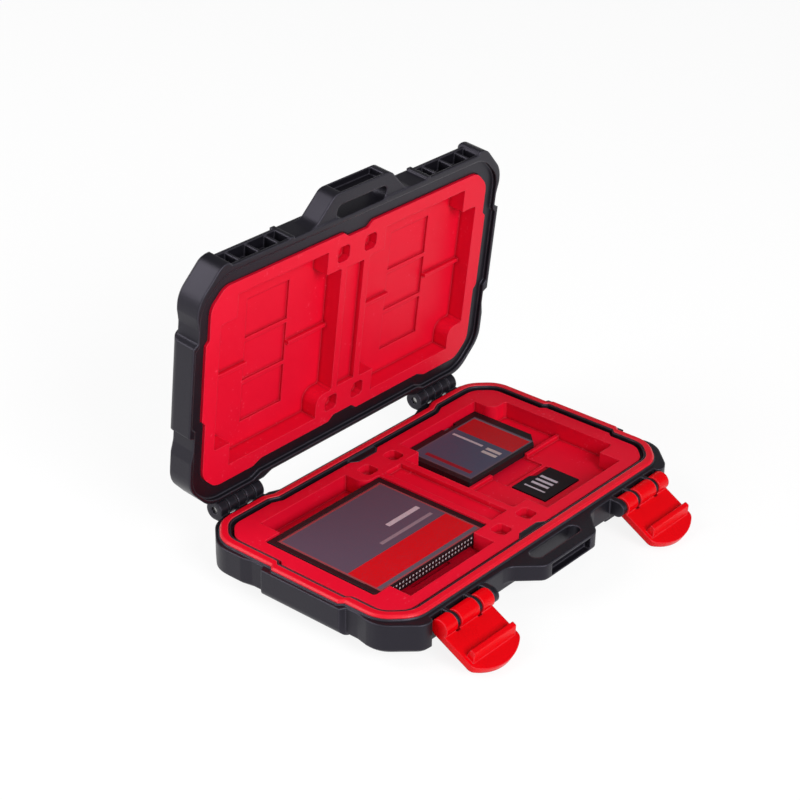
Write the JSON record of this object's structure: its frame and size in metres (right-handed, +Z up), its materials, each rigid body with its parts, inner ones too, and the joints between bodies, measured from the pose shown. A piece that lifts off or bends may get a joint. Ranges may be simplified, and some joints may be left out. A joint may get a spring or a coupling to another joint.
{
  "type": "memory card case",
  "caption": "Hinged hard case with fitted soft trays for memory cards, a rim seal, flip latches and a carrying loop.",
  "frame": {"origin": "middle of the flat underside that the base stands on", "axes": "+X along the case's length, -Y towards the latches and handle, +Z up out of the base"},
  "size_m": [0.118, 0.098, 0.0923],
  "materials": {
    "shell_black": "moulded satin black",
    "tray_red": "moulded soft red",
    "seal_red": "smooth soft red",
    "latch_red": "moulded gloss red",
    "pin_steel": "drawn",
    "card_black": "moulded matt black",
    "card_cover": "pressed sheet",
    "card_label": "printed film",
    "card_lock": "moulded grey",
    "contact_gold": "plated"
  },
  "bodies": {
    "base": {"base_shell": "shell_black", "base_tray": "tray_red", "rim_seal": "seal_red", "hinge_pin_right": "pin_steel", "hinge_pin_left": "pin_steel", "latch_pin_right": "latch_red", "latch_pin_left": "latch_red", "cf_card_frame": "card_black", "cf_card_bottom_cover": "card_cover", "cf_card_top_cover": "card_cover", "cf_card_label": "card_label", "cf_card_socket": "card_black", "sd_card_case": "card_black", "sd_card_label": "card_label", "sd_card_lock": "card_lock", "micro_card_case": "card_black", "micro_card_contacts": "contact_gold"},
    "lid": {"lid_shell": "shell_black", "lid_insert": "tray_red"},
    "latch_right": {"latch_right": "latch_red"},
    "latch_left": {"latch_left": "latch_red"}
  },
  "joints": [
    {"name": "lid_hinge", "type": "hinge", "parent": "base", "child": "lid", "pos_m": [0, 0.0368, 0.0135], "axis": [-1, 0, 0], "range_deg": [-84, 96]},
    {"name": "latch_right_pivot", "type": "hinge", "parent": "base", "child": "latch_right", "pos_m": [0.0376, -0.0372, 0.01015], "axis": [-1, 0, 0], "range_deg": [0, 119.5]},
    {"name": "latch_left_pivot", "type": "hinge", "parent": "base", "child": "latch_left", "pos_m": [-0.0376, -0.0372, 0.01015], "axis": [-1, 0, 0], "range_deg": [0, 117.6]}
  ]
}
